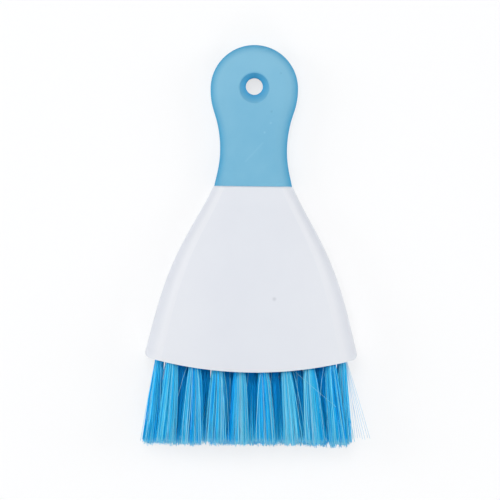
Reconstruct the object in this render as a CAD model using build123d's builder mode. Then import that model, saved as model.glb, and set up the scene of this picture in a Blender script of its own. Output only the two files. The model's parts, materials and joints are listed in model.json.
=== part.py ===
from build123d import *

import math
import os
import random

# A hand broom for a floor or a bench, lying on its back.
# Millimetres. +Y runs to the handle's end, +Z out of the broom's front, +X to the right.
# The origin lies under the middle of the whole broom, on the surface that it rests on.

# The whole broom along its length
overall_length = 222.4
grip_length = 78.2
bristle_showing = 41.7
tip_y = -overall_length / 2
handle_end_y = overall_length / 2
seam_y = handle_end_y - grip_length
mouth_y = tip_y + bristle_showing

# Every cut runs past the surface that it opens by this much
overrun = 1.0

# The white head: a moulded hood that widens and deepens from its neck to its mouth
neck_half_width = 21.9
mouth_half_width = 61.0
neck_depth = 17.2
mouth_depth = 29.0
neck_crown = 0.8
mouth_crown = 3.0
neck_front_radius = 6.8
mouth_front_radius = 11.0
neck_back_radius = 3.8
mouth_back_radius = 5.0
head_wall = 2.0
neck_wall = 6.0
neck_edge_bevel = 0.7
smallest_radius = 0.5
back_trim = 0.1

# Where the hood's sections stand along the head, and how far width and depth have grown there
station_shares = (0.0, 0.19, 0.39, 0.60, 0.81, 1.0, 1.08)
width_shares = (0.0, 0.258, 0.527, 0.730, 0.878, 1.0, 1.049)
depth_shares = (0.0, 0.32, 0.60, 0.81, 0.94, 1.0, 1.01)

# The mouth's edge bulges towards the bristles, and its two corners are rounded
mouth_edge_radius = 220.0
corner_radius = 3.4
corner_margin = 0.1

# Low ribs inside the hood, on which the bristle block stops
rib_thickness = 1.6
rib_height = 3.0
rib_length = 14.0
rib_spacing = 46.0

# The bristle block, held in the mouth by two lugs that snap into windows in the back
block_recess = 4.0
block_thickness = 14.0
block_clearance = 0.25
lug_width = 11.0
lug_length = 4.0
lug_spacing = 50.0
lug_ramp = 1.5
window_clearance = 0.3

# The handle's stiff core, hidden in the grip, with holes that lock the grip on
core_thickness = 8.0
grip_skin = 4.2
lock_hole_radius = 3.5
lock_hole_shares = (0.16, 0.34, 0.52)
bond_gap = 0.05

# The blue grip, moulded over the core, a little inside the head's edge all round
seam_step = 0.35
grip_half_width = 24.2
waist_half_width = 18.5
flank_share = 0.128
waist_share = 0.25
swell_share = 0.47
flank_width_share = 0.705
swell_width_share = 0.40
seam_lean_share = 0.95
grip_front_radius = 7.5
grip_back_radius = 3.4

# The hanging hole through the grip, with a funnel on both faces that leans to the head
hang_hole_radius = 4.7
hang_hole_share = 0.706
hang_hole_lining = 2.2
funnel_radius = 8.5
funnel_depth = 4.0
funnel_shift = 1.0
funnel_edge_radius = 0.8
hole_edge_radius = 0.5

# The tufts: three rows, the middle one staggered, fanning out towards the ends
middle_row_count = 9
outer_row_count = middle_row_count - 1
end_tuft_margin = 11.0
back_row_margin = 6.0
front_row_margin = 7.5
tuft_pitch = 2 * (mouth_half_width - end_tuft_margin) / (middle_row_count - 1)
row_pitch = (mouth_depth - front_row_margin - back_row_margin) / 2
middle_row_height = back_row_margin + row_pitch
end_lean_angle = 7.5
tuft_hole_radius = 2.5
tuft_hole_depth = 10.0
plug_gap = 0.1
plug_recess = 0.8
root_sink = 0.8

# The strands of one tuft: a middle one and two rings, each strand four-sided
ring_counts = (1, 6, 11)
strand_side = 0.6
tuft_tip_radius = 4.4
ragged_length = 2.4
strand_stray = 0.22

# The flat wire anchor that holds the folded filaments down in each hole
anchor_length = 7.0
anchor_thickness = 0.5
anchor_width = 1.8
anchor_fold = 1.2
anchor_gap = 0.05


def blend(start, end, share):
    return start + (end - start) * share


def section_half_width(number):
    return blend(neck_half_width, mouth_half_width, width_shares[number])


def section_y(number):
    return blend(seam_y, mouth_y, station_shares[number])


def hood_section(number, inset):
    # One section across the head: flat back, crowned front, rounded at all four corners.
    half = section_half_width(number) - inset
    top = blend(neck_depth, mouth_depth, depth_shares[number]) - inset
    bottom = inset - back_trim
    shoulder = top - blend(neck_crown, mouth_crown, width_shares[number])
    front = blend(neck_front_radius, mouth_front_radius, width_shares[number]) - inset
    back = blend(neck_back_radius, mouth_back_radius, width_shares[number]) - inset
    with BuildSketch(Plane.XZ.offset(-section_y(number))) as section:
        with BuildLine():
            Polyline((half, shoulder), (half, bottom), (-half, bottom), (-half, shoulder))
            ThreePointArc((-half, shoulder), (0, top), (half, shoulder))
        make_face()
        fillet(section.vertices().group_by(Axis.Y)[0], max(back, smallest_radius))
        fillet(section.vertices().group_by(Axis.Y)[-1], max(front, smallest_radius))
    return section.sketch


def hood_body(inset):
    # The head's outer body, or the same body drawn in by a wall.
    with BuildPart() as body:
        loft([hood_section(number, inset) for number in range(len(station_shares))])
    return body.part


def inside_mouth_edge(recess):
    # The head's plan as far as the bulged mouth edge, moved in by the recess.
    with BuildSketch() as region:
        with Locations((0, mouth_y + mouth_edge_radius)):
            Circle(mouth_edge_radius - recess)
        with Locations((0, seam_y)):
            wide = 2 * section_half_width(-1)
            tall = 2 * (seam_y - section_y(-1))
            Rectangle(wide, tall, mode=Mode.INTERSECT)
    return region.sketch


def head_plan():
    # The head's outline near its mouth: straight flared sides, the bulged edge, round corners.
    upper = (section_half_width(4) + corner_margin, section_y(4))
    lower = (section_half_width(5) + corner_margin, section_y(5))
    flare = (lower[0] - upper[0]) / (upper[1] - lower[1])
    top = seam_y + overrun
    bottom = mouth_y - overrun
    top_half = upper[0] - flare * (top - upper[1])
    bottom_half = upper[0] - flare * (bottom - upper[1])
    with BuildSketch() as plan:
        with BuildLine():
            Polyline(
                (top_half, top),
                (-top_half, top),
                (-bottom_half, bottom),
                (bottom_half, bottom),
                close=True,
            )
        make_face()
        with Locations((0, mouth_y + mouth_edge_radius)):
            Circle(mouth_edge_radius, mode=Mode.INTERSECT)
        fillet(plan.vertices().sort_by(Axis.Y)[:2], corner_radius)
    return plan.sketch


def grip_outline(inset):
    # The grip's outline in front view from the seam up, or the same outline drawn in.
    edge_half = neck_half_width - seam_step
    flank_half = blend(edge_half, waist_half_width, flank_width_share)
    swell_half = blend(waist_half_width, grip_half_width, swell_width_share)
    lean = seam_lean_share * (edge_half - flank_half) / (grip_length * flank_share)
    cap_radius = grip_half_width - inset
    cap_y = handle_end_y - grip_half_width
    flank = [
        (edge_half - inset, seam_y),
        (flank_half - inset, seam_y + grip_length * flank_share),
        (waist_half_width - inset, seam_y + grip_length * waist_share),
        (swell_half - inset, seam_y + grip_length * swell_share),
        (cap_radius, cap_y),
    ]
    with BuildSketch() as outline:
        with BuildLine():
            side = Spline(*flank, tangents=[(-lean, 1), (0, 1)])
            mirror(side, about=Plane.YZ)
            CenterArc((0, cap_y), cap_radius, 0, 180)
            Line(flank[0], (-flank[0][0], seam_y))
        make_face()
    return outline.sketch


def core_body(gap):
    # The core with its lock holes, or the space for it in the grip when the gap is added.
    hole_y = seam_y + grip_length * hang_hole_share
    floor = (neck_depth - core_thickness) / 2
    with BuildPart() as body:
        with BuildSketch(Plane.XY.offset(floor - gap)):
            add(grip_outline(grip_skin - gap))
            with Locations(*[(0, seam_y + grip_length * share) for share in lock_hole_shares]):
                Circle(lock_hole_radius - gap, mode=Mode.SUBTRACT)
            with Locations((0, hole_y)):
                Circle(hang_hole_radius + hang_hole_lining - gap, mode=Mode.SUBTRACT)
        extrude(amount=core_thickness + 2 * gap)
    return body.part


def funnel(surface_z, inward):
    # The funnel's cut on one face of the grip, from past the surface to inside the hole.
    hole_y = seam_y + grip_length * hang_hole_share
    with BuildPart() as cut:
        for depth in (-overrun, funnel_depth + overrun):
            share = 1 - depth / funnel_depth
            with BuildSketch(Plane.XY.offset(surface_z + inward * depth)):
                with Locations((0, hole_y - funnel_shift * share)):
                    Circle(blend(hang_hole_radius, funnel_radius, share))
        loft()
    return cut.part


def lug_spot():
    # Where the block's lugs and the hood's windows stand, to the right of the middle.
    x = lug_spacing / 2
    bulge = mouth_edge_radius - math.sqrt(mouth_edge_radius**2 - x**2)
    return x, mouth_y + bulge + block_recess + block_thickness / 2


def tuft_seats(count, height):
    # A plane for each hole of a row: at the block's face, looking out along the tuft.
    end_x = tuft_pitch * (middle_row_count - 1) / 2
    face_radius = mouth_edge_radius - block_recess
    seats = []
    for number in range(count):
        x = tuft_pitch * (number - (count - 1) / 2)
        y = mouth_y + mouth_edge_radius - math.sqrt(face_radius**2 - x**2)
        lean = math.radians(end_lean_angle * x / end_x)
        across = (math.cos(lean), math.sin(lean), 0)
        outward = (math.sin(lean), -math.cos(lean), 0)
        seats.append(Plane(origin=(x, y, height), x_dir=across, z_dir=outward))
    return seats


rows = {
    "front": tuft_seats(outer_row_count, middle_row_height + row_pitch),
    "middle": tuft_seats(middle_row_count, middle_row_height),
    "back": tuft_seats(outer_row_count, middle_row_height - row_pitch),
}
all_seats = rows["front"] + rows["middle"] + rows["back"]
anchor_place = (0, 0, anchor_fold + anchor_width / 2 - tuft_hole_depth)


def make_ribs():
    # Two ribs on the front wall and two on the back, rooted halfway into the wall.
    with BuildPart() as ribs:
        with BuildSketch(Plane.XY.offset(-overrun)):
            with Locations((0, mouth_y + block_recess + block_thickness + rib_length / 2)):
                with GridLocations(rib_spacing, 0, 2, 1):
                    Rectangle(rib_thickness, rib_length + overrun)
            add(inside_mouth_edge(block_recess + block_thickness), mode=Mode.INTERSECT)
        extrude(amount=mouth_depth + 2 * overrun)
        add(hood_body(head_wall / 2), mode=Mode.INTERSECT)
        add(hood_body(head_wall + rib_height), mode=Mode.SUBTRACT)
    return ribs.part


def make_head_shell():
    with BuildPart() as cavity:
        add(hood_body(head_wall))
        split(bisect_by=Plane.XZ.offset(neck_wall - seam_y), keep=Keep.TOP)
    lug_x, lug_y = lug_spot()
    with BuildPart() as head_shell:
        add(hood_body(0))
        with BuildSketch(Plane.XY.offset(-overrun)):
            add(head_plan())
        extrude(amount=mouth_depth + 2 * overrun, mode=Mode.INTERSECT)
        chamfer(head_shell.faces().sort_by(Axis.Y)[-1].edges(), neck_edge_bevel)
        split(bisect_by=Plane.XY, keep=Keep.TOP)
        add(cavity.part, mode=Mode.SUBTRACT)
        add(make_ribs())
        with BuildSketch(Plane.XY.offset(-overrun)):
            with Locations((-lug_x, lug_y), (lug_x, lug_y)):
                Rectangle(lug_width + 2 * window_clearance, lug_length + 2 * window_clearance)
        extrude(amount=head_wall + 2 * overrun, mode=Mode.SUBTRACT)
    return head_shell.part


def make_grip():
    thickness = neck_depth - 2 * seam_step
    top_z = neck_depth - seam_step
    crown_radius = (neck_half_width**2 + neck_crown**2) / (2 * neck_crown)
    hole_y = seam_y + grip_length * hang_hole_share
    with BuildPart() as grip:
        with BuildSketch(Plane.XY.offset(seam_step)):
            add(grip_outline(0))
        extrude(amount=thickness)
        with BuildSketch(Plane.XZ.offset(overrun - seam_y)):
            with Locations((0, top_z - crown_radius)):
                Circle(crown_radius)
        extrude(amount=-grip_length - 2 * overrun, mode=Mode.INTERSECT)
        front_rim = grip.faces().sort_by(Axis.Z)[-1].edges().sort_by(Axis.Y)[1:]
        fillet(front_rim, grip_front_radius)
        back_rim = grip.faces().sort_by(Axis.Z)[0].edges().sort_by(Axis.Y)[1:]
        fillet(back_rim, grip_back_radius)
        add(funnel(top_z, -1), mode=Mode.SUBTRACT)
        add(funnel(seam_step, 1), mode=Mode.SUBTRACT)
        front_funnel_rim = grip.faces().sort_by(Axis.Z)[-1].inner_wires()[0].edges()
        back_funnel_rim = grip.faces().sort_by(Axis.Z)[0].inner_wires()[0].edges()
        fillet(front_funnel_rim + back_funnel_rim, funnel_edge_radius)
        with Locations(Location((0, hole_y, 0), (0, 0, 180))):
            Cylinder(hang_hole_radius, 2 * neck_depth + overrun, mode=Mode.SUBTRACT)
        hole_rims = grip.edges(Select.LAST).filter_by(GeomType.LINE, reverse=True)
        fillet(hole_rims, hole_edge_radius)
        add(core_body(bond_gap), mode=Mode.SUBTRACT)
    return grip.part


def make_bristle_block():
    lug_x, lug_y = lug_spot()
    back_z = head_wall + block_clearance
    with BuildPart() as bristle_block:
        add(hood_body(head_wall + block_clearance))
        with BuildSketch(Plane.XY.offset(-overrun)):
            add(inside_mouth_edge(block_recess))
            add(inside_mouth_edge(block_recess + block_thickness), mode=Mode.SUBTRACT)
        extrude(amount=mouth_depth + 2 * overrun, mode=Mode.INTERSECT)
        for x in (-lug_x, lug_x):
            with BuildSketch(Plane.YZ.offset(x - lug_width / 2)):
                with BuildLine():
                    Polyline(
                        (lug_y - lug_length / 2, back_z + overrun),
                        (lug_y - lug_length / 2, window_clearance),
                        (lug_y + lug_length / 2 - lug_ramp, window_clearance),
                        (lug_y + lug_length / 2, back_z),
                        (lug_y + lug_length / 2, back_z + overrun),
                        close=True,
                    )
                make_face()
            extrude(amount=lug_width)
        with Locations(*all_seats):
            with Locations((0, 0, overrun)):
                Hole(tuft_hole_radius, depth=tuft_hole_depth + overrun)
            with Locations(anchor_place):
                Box(anchor_length, anchor_thickness, anchor_width, mode=Mode.SUBTRACT)
    return bristle_block.part


def make_tuft_staples():
    with BuildPart() as tuft_staples:
        with Locations(*all_seats):
            with Locations(anchor_place):
                Box(anchor_length, anchor_thickness, anchor_width)
    return tuft_staples.part


def make_strand(seat, spot, chance):
    # A straight strand from the plug to the trimmed end, spreading as the tuft spreads.
    root_radius = tuft_hole_radius - plug_gap - strand_side
    root = seat.from_local_coords((spot.X * root_radius, spot.Y * root_radius, -plug_recess - root_sink))
    reach = (seat.origin.Y - tip_y) / -seat.z_dir.Y
    stray_x = chance.uniform(-strand_stray, strand_stray)
    stray_y = chance.uniform(-strand_stray, strand_stray)
    aim = seat.from_local_coords((spot.X * tuft_tip_radius + stray_x, spot.Y * tuft_tip_radius + stray_y, reach))
    end_y = tip_y + chance.uniform(0, ragged_length)
    run = (aim - root) * ((end_y - root.Y) / (aim.Y - root.Y))
    with BuildPart() as strand:
        with BuildSketch(Plane(origin=root, x_dir=seat.x_dir, z_dir=run)):
            Rectangle(strand_side, strand_side)
        extrude(amount=run.length)
    return strand.part


def make_tuft(seat, chance):
    spots = []
    for ring, count in enumerate(ring_counts):
        spread = ring / (len(ring_counts) - 1)
        spots += [Vector(spread, 0, 0).rotate(Axis.Z, 360 * step / count) for step in range(count)]
    with BuildPart() as tuft:
        with Locations(seat):
            with Locations((0, 0, -tuft_hole_depth)):
                Cylinder(
                    tuft_hole_radius - plug_gap,
                    tuft_hole_depth - plug_recess,
                    align=(Align.CENTER, Align.CENTER, Align.MIN),
                )
            with Locations(anchor_place):
                Box(
                    2 * tuft_hole_radius,
                    anchor_thickness + 2 * anchor_gap,
                    anchor_width + 2 * anchor_gap,
                    mode=Mode.SUBTRACT,
                )
        add([make_strand(seat, spot, chance) for spot in spots])
    return tuft.part


def save(piece, name):
    piece.label = name
    export_step(piece, "parts/" + name + ".step")


os.makedirs("parts", exist_ok=True)
save(make_head_shell(), "head_shell")
save(core_body(0), "handle_core")
save(make_grip(), "grip")
save(make_bristle_block(), "bristle_block")
save(make_tuft_staples(), "tuft_staples")
chance = random.Random(4)
for row, seats in rows.items():
    for number, seat in enumerate(seats, start=1):
        save(make_tuft(seat, chance), row + "_tuft_" + str(number))
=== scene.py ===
# %% [markdown]
# A hand broom lies on its back on a pale table: a white moulded head, a soft blue grip and three
# rows of blue bristles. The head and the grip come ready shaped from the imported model, so this
# lesson gives them their finishes, and it combs every bristle tuft anew, strand by strand.
# Lengths are in metres. +Y runs to the handle's end, +Z out of the broom's front.

import json
import math
import random

import bmesh
import bpy
from mathutils import Matrix, Vector


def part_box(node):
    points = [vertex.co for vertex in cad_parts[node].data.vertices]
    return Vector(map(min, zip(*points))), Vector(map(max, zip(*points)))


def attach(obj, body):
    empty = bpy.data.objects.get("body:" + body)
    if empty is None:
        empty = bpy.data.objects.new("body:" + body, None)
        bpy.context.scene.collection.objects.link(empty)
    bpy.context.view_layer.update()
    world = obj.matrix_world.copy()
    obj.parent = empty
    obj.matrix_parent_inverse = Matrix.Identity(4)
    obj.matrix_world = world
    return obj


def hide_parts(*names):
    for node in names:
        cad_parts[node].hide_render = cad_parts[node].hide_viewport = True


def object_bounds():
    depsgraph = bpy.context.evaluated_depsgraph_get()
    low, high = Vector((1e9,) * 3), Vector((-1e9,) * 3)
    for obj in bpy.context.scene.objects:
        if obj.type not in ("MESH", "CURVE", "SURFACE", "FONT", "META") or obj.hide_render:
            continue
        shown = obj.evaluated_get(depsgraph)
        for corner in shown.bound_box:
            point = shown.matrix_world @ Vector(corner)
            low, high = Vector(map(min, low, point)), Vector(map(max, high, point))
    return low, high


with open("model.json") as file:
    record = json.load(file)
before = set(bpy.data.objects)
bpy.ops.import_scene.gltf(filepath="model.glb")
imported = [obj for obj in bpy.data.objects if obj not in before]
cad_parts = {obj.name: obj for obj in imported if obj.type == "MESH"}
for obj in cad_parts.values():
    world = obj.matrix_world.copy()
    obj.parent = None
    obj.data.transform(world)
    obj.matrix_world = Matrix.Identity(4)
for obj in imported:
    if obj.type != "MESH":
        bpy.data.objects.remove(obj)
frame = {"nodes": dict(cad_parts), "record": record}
nodes = frame["nodes"]
cad_low, cad_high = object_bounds()
mm = 0.001
print("CAD box, mm:", [round(side / mm, 1) for side in cad_high - cad_low])

# %% [markdown]
# The photograph looks straight down on the broom from far away, so its sides hardly spread.
# A long lens high above does the same. One pixel of the 500 pixel picture is a little over
# half a millimetre on the broom, and the broom leans a little to the right in the picture, so
# the camera turns the other way by that much.

# %% Camera
pixel = 0.5525 * mm
picture_pixels = 500
camera_height = 3.0
sharp_height = 12 * mm
view_centre = Vector((-1.3 * mm, -2.2 * mm, 0))
picture_roll = math.radians(0.7)
sensor = 36 * mm

camera_data = bpy.data.cameras.new("camera")
camera_data.sensor_width = sensor / mm
camera_data.lens = sensor / mm * (camera_height - sharp_height) / (pixel * picture_pixels)
camera_data.clip_start = 0.1
camera_data.clip_end = 20
camera = bpy.data.objects.new("camera", camera_data)
camera.location = view_centre + Vector((0, 0, camera_height))
camera.rotation_euler = (0, 0, picture_roll)
bpy.context.scene.collection.objects.link(camera)
bpy.context.scene.camera = camera
print("lens, mm:", round(camera_data.lens))

# %% [markdown]
# The light is that of a soft studio tent. A broad lamp high overhead stands a little towards the
# handle, so that the head throws a thin shadow on its bristles. A low lamp on either side keeps
# the rounded sides bright, and one in front shines in between the bristles. An even pale sky
# fills the rest. A lamp of P watts at distance d lights a surface that faces it with
# P / (pi d d), and pi of that shows white as white. Each lamp gives a share of that, so the sum
# shows a colour about as written. The low lamps only fill: no gloss mirrors them, or a low view
# would lose the head in glare. Two softboxes half way up do the opposite: only gloss shows them,
# as a faint sheen along the broom's sides. Each lamp is given as its place, the length of its
# side and its share of white.

# %% Lights
fill_lamps = {
    "overhead_lamp": (Vector((-0.4, 0.95, 3.3)), 1.5, 0.29),
    "left_lamp": (Vector((-1.7, 0.3, 0.9)), 0.9, 0.28),
    "right_lamp": (Vector((1.7, 0.3, 0.9)), 0.9, 0.25),
    "front_lamp": (Vector((0.2, -1.9, 1.5)), 0.9, 0.14),
}
softboxes = {
    "left_softbox": (Vector((-1.6, 1.1, 1.8)), 1.4, 0.7),
    "right_softbox": (Vector((1.6, 1.1, 1.8)), 1.4, 0.7),
}
sky_share = 0.45

for name, (place, size, share) in {**fill_lamps, **softboxes}.items():
    lamp_data = bpy.data.lights.new(name, "AREA")
    lamp_data.shape = "SQUARE"
    lamp_data.size = size
    lamp_data.energy = share * math.pi**2 * place.length_squared
    lamp = bpy.data.objects.new(name, lamp_data)
    lamp.location = place
    lamp.rotation_euler = (-place).to_track_quat("-Z", "Y").to_euler()
    lamp.visible_camera = False
    lamp.visible_glossy = name in softboxes or name == "overhead_lamp"
    lamp.visible_diffuse = name in fill_lamps
    bpy.context.scene.collection.objects.link(lamp)
    print(name, "W:", round(lamp_data.energy, 1))

# %% [markdown]
# Finishes are node materials. A few small helpers keep them short: one starts a material with
# its shader, one adds a node, one joins two. Colours are written as they look, in 0 to 255,
# and turned to the linear values that the shader wants.

# %% Helpers for finishes
def linear(value):
    share = value / 255
    if share <= 0.04045:
        return share / 12.92
    return ((share + 0.055) / 1.055) ** 2.4


def paint(red, green, blue):
    return (linear(red), linear(green), linear(blue), 1.0)


def start_finish(name, colour, roughness):
    material = bpy.data.materials.new(name)
    material.use_nodes = True
    shader = material.node_tree.nodes["Principled BSDF"]
    shader.inputs["Base Color"].default_value = colour
    shader.inputs["Roughness"].default_value = roughness
    return material, shader


def add_node(material, kind, inputs=None, **settings):
    node = material.node_tree.nodes.new(kind)
    for name, value in settings.items():
        setattr(node, name, value)
    for name, value in (inputs or {}).items():
        node.inputs[name].default_value = value
    return node


def connect(material, source, target):
    material.node_tree.links.new(source, target)


print("white as the shader wants it:", paint(255, 255, 255))

# %% [markdown]
# Most of what a finish does is arithmetic on numbers, places and colours, each step a node of
# its own. These helpers make one step each, and most give back the socket with its result.

# %% Helpers for steps in a finish
def math_node(material, operation, first, second, clamp=False):
    # Either number may be a socket or a value.
    node = add_node(material, "ShaderNodeMath", operation=operation, use_clamp=clamp)
    for socket, number in zip(node.inputs, (first, second)):
        if hasattr(number, "node"):
            connect(material, number, socket)
        else:
            socket.default_value = number
    return node.outputs["Value"]


def vector_node(material, operation, first, second):
    # Either vector may be a socket or a value. Gives the node, since some results are numbers.
    node = add_node(material, "ShaderNodeVectorMath", operation=operation)
    for socket, vector in zip(node.inputs, (first, second)):
        if hasattr(vector, "node"):
            connect(material, vector, socket)
        else:
            socket.default_value = vector
    return node


def remap(material, value, low, high, low_result, high_result):
    # A value's place between low and high, carried over to the two results.
    ends = {"From Min": low, "From Max": high, "To Min": low_result, "To Max": high_result}
    node = add_node(material, "ShaderNodeMapRange", ends)
    connect(material, value, node.inputs["Value"])
    return node.outputs["Result"]


def object_coordinates(material):
    return add_node(material, "ShaderNodeTexCoord").outputs["Object"]


def noise_value(material, coordinates, scale, detail=2.0, roughness=0.5):
    inputs = {"Scale": scale, "Detail": detail, "Roughness": roughness}
    node = add_node(material, "ShaderNodeTexNoise", inputs)
    connect(material, coordinates, node.inputs["Vector"])
    return node.outputs["Fac"]


def ramp(material, value, stops):
    # A colour ramp with its stops given as (position, colour).
    node = add_node(material, "ShaderNodeValToRGB")
    elements = node.color_ramp.elements
    while len(elements) < len(stops):
        elements.new(0.5)
    for element, (position, colour) in zip(elements, stops):
        element.position = position
        element.color = colour
    connect(material, value, node.inputs["Fac"])
    return node.outputs["Color"]


def blend_colours(material, share, first, second):
    # Either colour may be a socket or a value. The node has sockets of one name for numbers,
    # vectors and colours, so those for colours are picked by their place in the list.
    node = add_node(material, "ShaderNodeMix", data_type="RGBA")
    connect(material, share, node.inputs["Factor"])
    for socket, colour in ((node.inputs[6], first), (node.inputs[7], second)):
        if hasattr(colour, "node"):
            connect(material, colour, socket)
        else:
            socket.default_value = colour
    return node.outputs[2]


def skin_turn(material, axis):
    # 1 where the skin faces along an axis of the object, 0 where it is edge on to it.
    parts = add_node(material, "ShaderNodeSeparateXYZ")
    skin_normal = add_node(material, "ShaderNodeTexCoord").outputs["Normal"]
    connect(material, skin_normal, parts.inputs["Vector"])
    return math_node(material, "ABSOLUTE", parts.outputs[axis], 0.0)


def fine_bump(material, shader, height, strength, depth):
    node = add_node(material, "ShaderNodeBump", {"Strength": strength, "Distance": depth})
    connect(material, height, node.inputs["Height"])
    connect(material, node.outputs["Normal"], shader.inputs["Normal"])


def picture_ray_share(material):
    # 1 for rays that draw the background, straight, mirrored or through glass, 0 for light.
    rays = add_node(material, "ShaderNodeLightPath").outputs
    seen = math_node(material, "MAXIMUM", rays["Is Camera Ray"], rays["Is Glossy Ray"])
    return math_node(material, "MAXIMUM", seen, rays["Is Transmission Ray"])


print("steps ready")

# %% [markdown]
# The table is a plain white sheet. A photographer lights such a sheet from behind, so that it
# comes out white while the object's shadow stays faint. Here the picture's own rays see mostly
# its glow and for the rest its lit surface, and all other light sees a plain white sheet. The
# sky does the same: white where it is seen, and at its own share where it lights.

# %% Table and sky
table_half = 2.5
glow_share = 0.72

bm = bmesh.new()
bmesh.ops.create_grid(bm, x_segments=1, y_segments=1, size=table_half)
table_mesh = bpy.data.meshes.new("table")
bm.to_mesh(table_mesh)
bm.free()
table = bpy.data.objects.new("table", table_mesh)
bpy.context.scene.collection.objects.link(table)
table_finish, table_shader = start_finish("table_sheet", paint(250, 251, 253), 0.9)
table_shader.inputs["Specular IOR Level"].default_value = 0.1
glow = add_node(table_finish, "ShaderNodeEmission")
glow.inputs["Color"].default_value = paint(255, 255, 255)
glow.inputs["Strength"].default_value = 1.0
both = add_node(table_finish, "ShaderNodeMixShader")
glow_seen = math_node(table_finish, "MULTIPLY", picture_ray_share(table_finish), glow_share)
connect(table_finish, glow_seen, both.inputs["Fac"])
connect(table_finish, table_shader.outputs["BSDF"], both.inputs[1])
connect(table_finish, glow.outputs["Emission"], both.inputs[2])
table_output = table_finish.node_tree.nodes["Material Output"]
connect(table_finish, both.outputs["Shader"], table_output.inputs["Surface"])
table_mesh.materials.append(table_finish)

sky = bpy.data.worlds.new("sky")
sky.use_nodes = True
sky_light = sky.node_tree.nodes["Background"]
sky_light.inputs["Color"].default_value = paint(252, 253, 255)
sky_strength = remap(sky, picture_ray_share(sky), 0.0, 1.0, sky_share, 1.0)
connect(sky, sky_strength, sky_light.inputs["Strength"])
bpy.context.scene.world = sky
bpy.context.scene.view_settings.view_transform = "Standard"
print("table side, m:", 2 * table_half)

# %% [markdown]
# The head is injection moulded in a cool white plastic with a satin skin. Its colour hardly
# varies, so the finish lives in a faint cloudiness, a very fine grain and a few dust specks.
# Where the front begins to turn to the sides, the finish paints a slightly paler band by how far
# its skin turns sideways: a painted highlight, standing in for the softboxes' sheen. One larger
# speck shows in the photograph, low on the right half, and is put there by place.

# %% White plastic
head_speck_height = 27 * mm
head_speck_radius = 1.5 * mm
black, white = (0, 0, 0, 1), (1, 1, 1, 1)
painted_highlight_stops = [(0.03, black), (0.12, white), (0.35, white), (0.7, black)]


def picture_place(column, row, height):
    # A place on the broom, from its column and row in the photograph.
    across = (column - picture_pixels / 2) * pixel
    up = (picture_pixels / 2 - row) * pixel
    turned = Matrix.Rotation(picture_roll, 3, "Z") @ Vector((across, up, 0))
    return Vector((turned.x + view_centre.x, turned.y + view_centre.y, height))


def speck_share(material, coordinates, place, radius, strength):
    # The strength at a small spot on the surface, falling to 0 at its radius.
    apart = vector_node(material, "DISTANCE", coordinates, place)
    return remap(material, apart.outputs["Value"], 0.0, radius, strength, 0.0)


def dust(material, coordinates, cells, amount, size):
    # Sparse small specks: one in the middle of a few of many random cells.
    voronoi = add_node(material, "ShaderNodeTexVoronoi", {"Scale": cells})
    connect(material, coordinates, voronoi.inputs["Vector"])
    near = remap(material, voronoi.outputs["Distance"], size * 0.5, size, 1.0, 0.0)
    pick = add_node(material, "ShaderNodeSeparateColor")
    connect(material, voronoi.outputs["Color"], pick.inputs["Color"])
    rare = math_node(material, "LESS_THAN", pick.outputs["Red"], amount)
    return math_node(material, "MULTIPLY", near, rare)


white_finish, shader = start_finish("white_plastic", paint(226, 229, 235), 0.45)
shader.inputs["Specular IOR Level"].default_value = 0.2
coordinates = object_coordinates(white_finish)
cloud = noise_value(white_finish, coordinates, 22, 3)
base = ramp(white_finish, cloud, [(0.3, paint(220, 223, 230)), (0.7, paint(224, 227, 233))])
specks = dust(white_finish, coordinates, 70, 0.06, 0.022)
base = blend_colours(white_finish, specks, base, paint(190, 194, 202))
# Painted highlight: a paler band where the skin turns sideways, in place of the side softboxes'
# sheen.
painted_side_highlight = ramp(white_finish, skin_turn(white_finish, "X"), painted_highlight_stops)
base = blend_colours(white_finish, painted_side_highlight, base, paint(227, 229, 234))
head_speck_place = picture_place(274.2, 298.8, head_speck_height)
head_speck = speck_share(white_finish, coordinates, head_speck_place, head_speck_radius, 0.75)
base = blend_colours(white_finish, head_speck, base, paint(188, 192, 200))
connect(white_finish, base, shader.inputs["Base Color"])
patches = noise_value(white_finish, coordinates, 160, 2)
satin = remap(white_finish, patches, 0.3, 0.7, 0.41, 0.49)
connect(white_finish, satin, shader.inputs["Roughness"])
grain = noise_value(white_finish, coordinates, 2600, 3)
fine_bump(white_finish, shader, grain, 0.12, 0.02 * mm)
print("white plastic ready")

# %% [markdown]
# The grip is a soft rubber moulded over the handle. Its colour is painted darker and more saturated
# where its skin turns away to the sides and towards the hole at the bottom of its funnel: painted
# shade, where less light reaches. The finish reads how far the skin turns from its flat faces, and
# how near the hole's axis it is. The colour also pales a little from the seam to the end. The
# photograph shows a few dark and light specks and one faint scratch, each given by its column and
# row there.

# %% Blue rubber
grip_top = 16.8 * mm
hole_radius = 4.7 * mm
funnel_radius = 8.7 * mm
grip_speck_radius = 0.9 * mm
scratch_radius = 0.8 * mm
dark_specks = [(281, 73.5), (271.6, 111.7)]
light_specks = [(270.8, 123.2), (264.6, 132.6)]
scratch_ends = [(245.5, 161.5), (262.5, 143.5)]


def scratch_share(material, coordinates, start, end, radius, strength):
    # The strength on a line on the surface, falling to 0 at its radius.
    along_line = end - start
    apart = vector_node(material, "SUBTRACT", coordinates, start).outputs["Vector"]
    place = vector_node(material, "DOT_PRODUCT", apart, along_line / along_line.length_squared)
    place_share = math_node(material, "MULTIPLY", place.outputs["Value"], 1.0, clamp=True)
    nearest = add_node(material, "ShaderNodeVectorMath", operation="SCALE")
    nearest.inputs[0].default_value = along_line
    connect(material, place_share, nearest.inputs["Scale"])
    distance = vector_node(material, "DISTANCE", apart, nearest.outputs["Vector"])
    return remap(material, distance.outputs["Value"], 0.0, radius, strength, 0.0)


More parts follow.
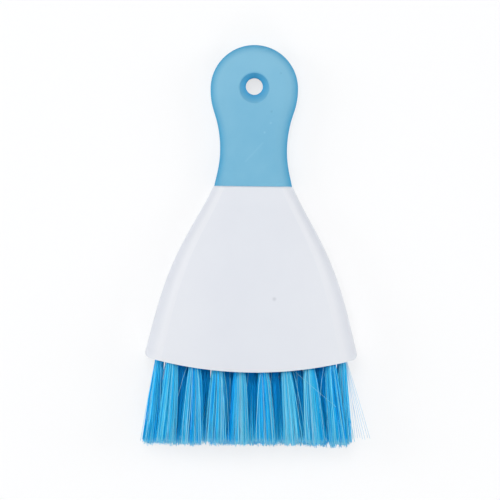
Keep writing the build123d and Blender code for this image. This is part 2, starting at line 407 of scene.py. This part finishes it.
rubber_finish, shader = start_finish("blue_rubber", paint(122, 186, 217), 0.62)
shader.inputs["Specular IOR Level"].default_value = 0.15
coordinates = object_coordinates(rubber_finish)
cloud = noise_value(rubber_finish, coordinates, 35, 4, 0.6)
base = ramp(rubber_finish, cloud, [(0.3, paint(107, 175, 208)), (0.7, paint(120, 183, 212))])
seam_to_end = add_node(rubber_finish, "ShaderNodeSeparateXYZ")
connect(rubber_finish, coordinates, seam_to_end.inputs["Vector"])
grip_low, grip_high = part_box("grip")
paler = remap(rubber_finish, seam_to_end.outputs["Y"], grip_low.y, grip_high.y, 0.0, 0.6)
base = blend_colours(rubber_finish, paler, base, paint(141, 196, 221))
# Painted shade: a darker, more saturated blue where the skin turns away to the sides.
painted_edge_shade = remap(rubber_finish, skin_turn(rubber_finish, "Z"), 0.9, 0.35, 0.0, 1.0)
base = blend_colours(rubber_finish, painted_edge_shade, base, paint(66, 158, 200))
hole_x, hole_y = frame["record"]["mounts"][0]["pos_m"][:2]
flattened = vector_node(rubber_finish, "MULTIPLY", coordinates, (1, 1, 0)).outputs["Vector"]
from_hole = vector_node(rubber_finish, "DISTANCE", flattened, (hole_x, hole_y, 0)).outputs["Value"]
# Painted shade: a darker blue in the funnel round the hole, strongest at the hole's edge.
painted_funnel_shade = remap(rubber_finish, from_hole, hole_radius, funnel_radius, 0.85, 0.0)
base = blend_colours(rubber_finish, painted_funnel_shade, base, paint(58, 163, 212))
specks = dust(rubber_finish, coordinates, 110, 0.03, 0.03)
base = blend_colours(rubber_finish, specks, base, paint(138, 195, 222))
speck_kinds = [(dark_specks, 0.45, paint(92, 150, 182)), (light_specks, 0.38, paint(166, 214, 235))]
for picture_spots, strength, colour in speck_kinds:
    for column, row in picture_spots:
        place = picture_place(column, row, grip_top)
        speck = speck_share(rubber_finish, coordinates, place, grip_speck_radius, strength)
        base = blend_colours(rubber_finish, speck, base, colour)
start, end = [picture_place(column, row, grip_top) for column, row in scratch_ends]
scratch = scratch_share(rubber_finish, coordinates, start, end, scratch_radius, 0.2)
base = blend_colours(rubber_finish, scratch, base, paint(152, 204, 228))
connect(rubber_finish, base, shader.inputs["Base Color"])
grain = noise_value(rubber_finish, coordinates, 3200, 3)
fine_bump(rubber_finish, shader, grain, 0.25, 0.03 * mm)
print("blue rubber ready")

# %% [markdown]
# Two pieces hide inside: the block that carries the tufts, in a plainer white, and the flat
# drawn wire of its staples, whose finish runs in fine lines along each wire.

# %% Block plastic and wire
block_finish, shader = start_finish("block_plastic", paint(216, 220, 227), 0.55)
coordinates = object_coordinates(block_finish)
cloud = noise_value(block_finish, coordinates, 60, 3)
base = ramp(block_finish, cloud, [(0.3, paint(209, 213, 221)), (0.7, paint(220, 224, 230))])
connect(block_finish, base, shader.inputs["Base Color"])
fine_bump(block_finish, shader, noise_value(block_finish, coordinates, 1500, 3), 0.2, 0.03 * mm)

wire_finish, shader = start_finish("staple_wire", paint(190, 190, 194), 0.35)
shader.inputs["Metallic"].default_value = 1.0
coordinates = object_coordinates(wire_finish)
drawn = add_node(wire_finish, "ShaderNodeMapping", {"Scale": (60, 4000, 4000)})
connect(wire_finish, coordinates, drawn.inputs["Vector"])
lines = noise_value(wire_finish, drawn.outputs["Vector"], 1, 2)
base = ramp(wire_finish, lines, [(0.35, paint(168, 168, 172)), (0.65, paint(205, 205, 208))])
connect(wire_finish, base, shader.inputs["Base Color"])
fine_bump(wire_finish, shader, lines, 0.2, 0.01 * mm)
print("block and wire ready")

# %% [markdown]
# The bristles are clear blue filament. Each strand carries two numbers on its points: its tone,
# from deep blue to nearly colourless, and how far along it a point lies. The finish reads both,
# so the cut ends turn paler, as on the real brush, where the light scatters from the cut.

# %% Bristle filament
filament_finish, shader = start_finish("bristle_filament", paint(62, 170, 222), 0.34)
tone = add_node(filament_finish, "ShaderNodeAttribute", attribute_name="tone").outputs["Fac"]
along = add_node(filament_finish, "ShaderNodeAttribute", attribute_name="along").outputs["Fac"]
shades = [
    (0.0, paint(0, 168, 254)),
    (0.3, paint(10, 191, 255)),
    (0.55, paint(64, 213, 255)),
    (0.8, paint(140, 232, 255)),
    (1.0, paint(204, 229, 252)),
]
base = ramp(filament_finish, tone, shades)
cut_end = ramp(filament_finish, along, [(0.96, black), (1.0, (0.6, 0.6, 0.6, 1))])
base = blend_colours(filament_finish, cut_end, base, paint(160, 224, 252))
connect(filament_finish, base, shader.inputs["Base Color"])
shader.inputs["Specular IOR Level"].default_value = 0.15
print("filament ready")

# %% [markdown]
# The finishes go on the nodes that the frame already shapes well.

# %% Dress the frame's nodes
finish_of_node = {
    "head_shell": white_finish,
    "handle_core": white_finish,
    "grip": rubber_finish,
    "bristle_block": block_finish,
    "tuft_staples": wire_finish,
}
for name, finish in finish_of_node.items():
    mesh = nodes[name].data
    mesh.materials.clear()
    mesh.materials.append(finish)
print("dressed:", ", ".join(finish_of_node))

# %% [markdown]
# Each tuft is a bunch of filaments in a round hole of the block. The holes stand in three rows,
# staggered, and fan out towards the ends of the head. A seat is the middle of a hole's mouth
# with the direction in which its tuft leaves.

# %% Seats of the tufts
tip_y = cad_low.y
mouth_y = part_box("head_shell")[0].y
edge_radius = 220 * mm
block_recess = 4 * mm
tuft_pitch = 12.5 * mm
row_pitch = 7.75 * mm
middle_height = 13.75 * mm
end_lean = math.radians(7.5)
row_counts = {"front": 8, "middle": 9, "back": 8}
row_heights = {
    "front": middle_height + row_pitch,
    "middle": middle_height,
    "back": middle_height - row_pitch,
}


def seats_of_row(row):
    count = row_counts[row]
    end_x = tuft_pitch * (row_counts["middle"] - 1) / 2
    face_radius = edge_radius - block_recess
    seats = []
    for number in range(count):
        x = tuft_pitch * (number - (count - 1) / 2)
        y = mouth_y + edge_radius - math.sqrt(face_radius**2 - x**2)
        lean = end_lean * x / end_x
        across = Vector((math.cos(lean), math.sin(lean), 0))
        outward = Vector((math.sin(lean), -math.cos(lean), 0))
        seats.append((Vector((x, y, row_heights[row])), across, outward))
    return seats


first_seat = seats_of_row("middle")[0][0]
print("first middle seat, mm:", [round(value / mm, 2) for value in first_seat])

# %% [markdown]
# One strand is made once, as a five-sided bar of length 1 with a few rings along it. It could be
# a curve with a bevel, but a small mesh that is copied and bent is lighter and keeps the two
# numbers on its points.

# %% A strand to copy
strand_radius = 0.155 * mm
strand_sides = 5
strand_rings = 6

bm = bmesh.new()
bmesh.ops.create_cone(bm, cap_ends=True, segments=strand_sides, radius1=1, radius2=1, depth=1)
bmesh.ops.translate(bm, verts=bm.verts, vec=(0, 0, 0.5))
long_edges = [edge for edge in bm.edges if abs(edge.verts[0].co.z - edge.verts[1].co.z) > 0.5]
bmesh.ops.subdivide_edges(bm, edges=long_edges, cuts=strand_rings - 1)
strand_mesh = bpy.data.meshes.new("strand")
bm.to_mesh(strand_mesh)
bm.free()
print("faces in a strand:", len(strand_mesh.polygons))

# %% [markdown]
# A strand starts in its hole, straight along the tuft, and spreads from the hole's mouth to its
# tip. A tuft springs open as soon as it leaves its hole and then spreads more slowly, so a low
# power of the way along gives its flare, and the rings stand closer near the root. A small bow
# to one side keeps the strands from looking ruled. A strand's tone runs from one at its root to
# one at its tip, mostly in its outer half.

# %% Lay one strand
hole_depth = 6.8 * mm
root_radius = 2.15 * mm
hidden_share = 1 / strand_rings
ring_crowding = 1.5
bow_size = 0.3 * mm
chance = random.Random(11)


def lay_strand(bm, seat, spot, tip, tones, radius, flare):
    # Adds one strand to the tuft's mesh, from the seat at a spot of the hole to its tip.
    root_tone, tip_tone = tones
    origin, across, outward = seat
    upward = Vector((0, 0, 1))
    mouth = origin + across * (spot.x * root_radius) + upward * (spot.y * root_radius)
    straight = outward * ((tip - mouth).dot(outward))
    side = (tip - mouth) - straight
    bow = across * chance.gauss(0, bow_size) + upward * chance.gauss(0, bow_size)
    start = len(bm.verts)
    bm.from_mesh(strand_mesh)
    tone_layer = bm.verts.layers.float["tone"]
    along_layer = bm.verts.layers.float["along"]
    for vert in list(bm.verts)[start:]:
        share = (vert.co.z - hidden_share) / (1 - hidden_share)
        if share < 0:
            centre = mouth + outward * (hole_depth * share * (1 - hidden_share) / hidden_share)
        else:
            share = share**ring_crowding
            bowed = bow * (4 * share * (1 - share))
            centre = mouth + straight * share + side * share**flare + bowed
        vert[along_layer] = max(share, 0.0)
        vert[tone_layer] = root_tone + (tip_tone - root_tone) * vert[along_layer] ** 2
        vert.co = centre + across * (vert.co.x * radius) + upward * (vert.co.y * radius)


print("hidden share of a strand:", round(hidden_share, 3))

# %% [markdown]
# Every tuft gets its own comb. Its strands fill the hole evenly, in the spiral that seeds take in
# a flower head, and keep their order to the tip with some scatter. The machine trims all strands
# to one line before the tufts spread, so the outer strands of a tuft end a little short and its
# tips form a shallow arch. Neighbours cling together in small locks, which leave fine dark lines
# between them and a toothed end. A few paler strays leave their tuft and cross the gaps. A tuft's
# tip is a little flatter than it is wide, since its row leaves it less room up and down.

# %% Comb one tuft
strands_per_tuft = 200
strays_per_tuft = 4
locks_per_tuft = 10
lock_pull = 0.22
lock_length = 2.4 * mm
lock_tone_scatter = 0.16
strand_tone_scatter = 0.42
palest_tone = 0.85
strand_radii = (0.85 * strand_radius, 1.1 * strand_radius)
tip_scatter = 0.3 * mm
tip_flatness = 0.9
tip_turn = 0.5
tip_arch = 1.0 * mm
ragged_length = 2.6 * mm
ragged_power = 0.6
stray_reach = 7 * mm
stray_rise = (0.5, 2.5)
stray_tones = (0.7, 0.85)
stray_radius = 0.9 * strand_radius
golden_turn = math.radians(137.508)
floor_gap = 0.5 * mm


def spiral_spot(number, count, turn):
    # The place of one of many in the seed spiral of a circle of radius 1.
    distance = math.sqrt((number + 0.5) / count)
    angle = golden_turn * number + turn
    return Vector((distance * math.cos(angle), distance * math.sin(angle)))


def tip_place(seat, spot, lock_short, reach_radius, shift):
    # Where a strand's tip lies: across its tuft by its spot, at the trimmed end of the broom.
    origin, across, outward = seat
    sideways = spot.x * reach_radius + chance.gauss(0, tip_scatter)
    upwards = spot.y * reach_radius * tip_flatness + chance.gauss(0, tip_scatter)
    short = tip_arch * (sideways / reach_radius) ** 2
    end_y = tip_y + short + lock_short + ragged_length * chance.random() ** ragged_power
    reach = (origin.y - end_y) / -outward.y
    tip = origin + outward * reach + across * (sideways + shift)
    tip.z = max(origin.z + upwards, floor_gap)
    return tip


def comb_tuft(seat, reach_radius, shift, tones, flare):
    # All the strands of one tuft, in one mesh. The last ones laid, round its rim, are strays.
    bm = bmesh.new()
    bm.verts.layers.float.new("tone")
    bm.verts.layers.float.new("along")
    turn = chance.uniform(-tip_turn, tip_turn)
    lock_turn = chance.uniform(0, math.tau)
    locks = [spiral_spot(number, locks_per_tuft, lock_turn) for number in range(locks_per_tuft)]
    lock_shorts = [lock_length * chance.random() for lock in locks]
    lock_changes = [chance.gauss(0, lock_tone_scatter) for lock in locks]
    for number in range(strands_per_tuft):
        spot = spiral_spot(number, strands_per_tuft, 0)
        end_spot = spiral_spot(number, strands_per_tuft, turn)
        lock = min(range(locks_per_tuft), key=lambda choice: (locks[choice] - end_spot).length)
        end_spot = end_spot.lerp(locks[lock], lock_pull)
        tip = tip_place(seat, end_spot, lock_shorts[lock], reach_radius, shift)
        change = 1 + (lock_changes[lock] + chance.gauss(0, strand_tone_scatter))
        strand_tones = [min(max(tone * change, 0.0), palest_tone) for tone in tones]
        radius = chance.uniform(*strand_radii)
        if number >= strands_per_tuft - strays_per_tuft:
            sideways = chance.uniform(-1, 1) * stray_reach
            tip += Vector((sideways, 0, chance.uniform(*stray_rise) * mm))
            strand_tones = [chance.uniform(*stray_tones)] * 2
            radius = stray_radius
        lay_strand(bm, seat, spot, tip, strand_tones, radius, flare)
    return bm


print("locks of a tuft:", locks_per_tuft, "strays:", strays_per_tuft)

# %% [markdown]
# The photograph shows some strands apart from all others: nearly colourless ones that stand far
# out at the right end, and one that lies across the front. Their ends are given as columns and
# rows of the photograph, and how far those at the right end scatter as rows and as millimetres
# of height. They are laid into the tuft that they grow from.

# %% Strands apart
far_strays = 9
far_column, far_column_step, far_row = 350, 2.5, 437.8
far_row_scatter = (-1, 2)
far_height_scatter = (-3, 4)
far_tones = (0.92, 1.0)
crossing_end = (335.5, 406, 29 * mm)
thin_radius = 0.7 * strand_radius


def add_far_strays(bm, seat):
    # The strands that stand far out at the right end.
    for number in range(far_strays):
        row = far_row + chance.uniform(*far_row_scatter)
        height = seat[0].z + chance.uniform(*far_height_scatter) * mm
        tip = picture_place(far_column + far_column_step * number, row, height)
        spot = Vector((0.8, chance.uniform(-0.5, 0.5)))
        tones = [chance.uniform(*far_tones)] * 2
        lay_strand(bm, seat, spot, tip, tones, thin_radius, 1.0)


def add_crossing_strand(bm, seat):
    # The strand that lies across the front.
    spot, tip = Vector((0.2, 0.95)), picture_place(*crossing_end)
    lay_strand(bm, seat, spot, tip, (palest_tone, palest_tone), thin_radius, 1.0)


print("strands apart:", far_strays + 1)

# %% [markdown]
# Now all three rows are combed. In the front row each tuft's lean and width at its tip follow the
# photograph, and in the middle row its lean does; these lists are in millimetres. A tuft of the
# back row leans by chance. The tufts inside the brush get a tone that starts low at the root:
# painted shade, the dark saturated blue of light that has passed many strands. The two end tufts of
# the middle row stand free, and are about as pale as the outer ones.

# %% Comb the tufts
tip_radius = 5.0 * mm
end_tip_radius = 4.4 * mm
chance_shift = 0.6 * mm
outer_flare, inner_flare, end_flare = 0.55, 0.4, 0.8
outer_tones = (0.48, 0.56)
end_tones = (0.45, 0.54)
# Painted shade: the inner tufts start dark blue at the root.
painted_shade_inner_tones = (0.12, 0.52)
front_shifts = (2.8, 2.4, 1.9, 0.5, 1.9, 2.0, 1.4, -0.7)
front_widths = (5.7, 6.8, 6.2, 6.0, 5.0, 5.0, 6.2, 5.2)
middle_shifts = (1.4, 1.6, -0.3, 0.5, 0.0, -0.5, 0.3, -0.4, -3.9)


def finish_tuft(name, bm):
    bmesh.ops.recalc_face_normals(bm, faces=bm.faces)
    mesh = bpy.data.meshes.new(name)
    bm.to_mesh(mesh)
    bm.free()
    mesh.shade_smooth()
    mesh.materials.append(filament_finish)
    tuft = bpy.data.objects.new(name, mesh)
    bpy.context.scene.collection.objects.link(tuft)
    return tuft


tufts = {}
for row in row_counts:
    for number, seat in enumerate(seats_of_row(row)):
        name = f"{row}_tuft_{number + 1}"
        at_end = number in (0, row_counts[row] - 1)
        reach_radius, shift = tip_radius, chance.uniform(-chance_shift, chance_shift)
        tones, flare = outer_tones, outer_flare
        if row == "front":
            reach_radius, shift = front_widths[number] * mm, front_shifts[number] * mm
        elif row == "middle":
            shift = middle_shifts[number] * mm
            if at_end:
                reach_radius, tones, flare = end_tip_radius, end_tones, end_flare
            else:
                tones, flare = painted_shade_inner_tones, inner_flare
        bm = comb_tuft(seat, reach_radius, shift, tones, flare)
        if name == "middle_tuft_9":
            add_far_strays(bm, seat)
        if name == "front_tuft_6":
            add_crossing_strand(bm, seat)
        tufts[name] = finish_tuft(name + "_strands", bm)
print("tufts:", len(tufts), "strands each:", strands_per_tuft)

# %% [markdown]
# Each combed tuft stands for the plain one of the frame and rides with the broom.

# %% Hand the tufts over
for name, tuft in tufts.items():
    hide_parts(name)
    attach(tuft, "root")
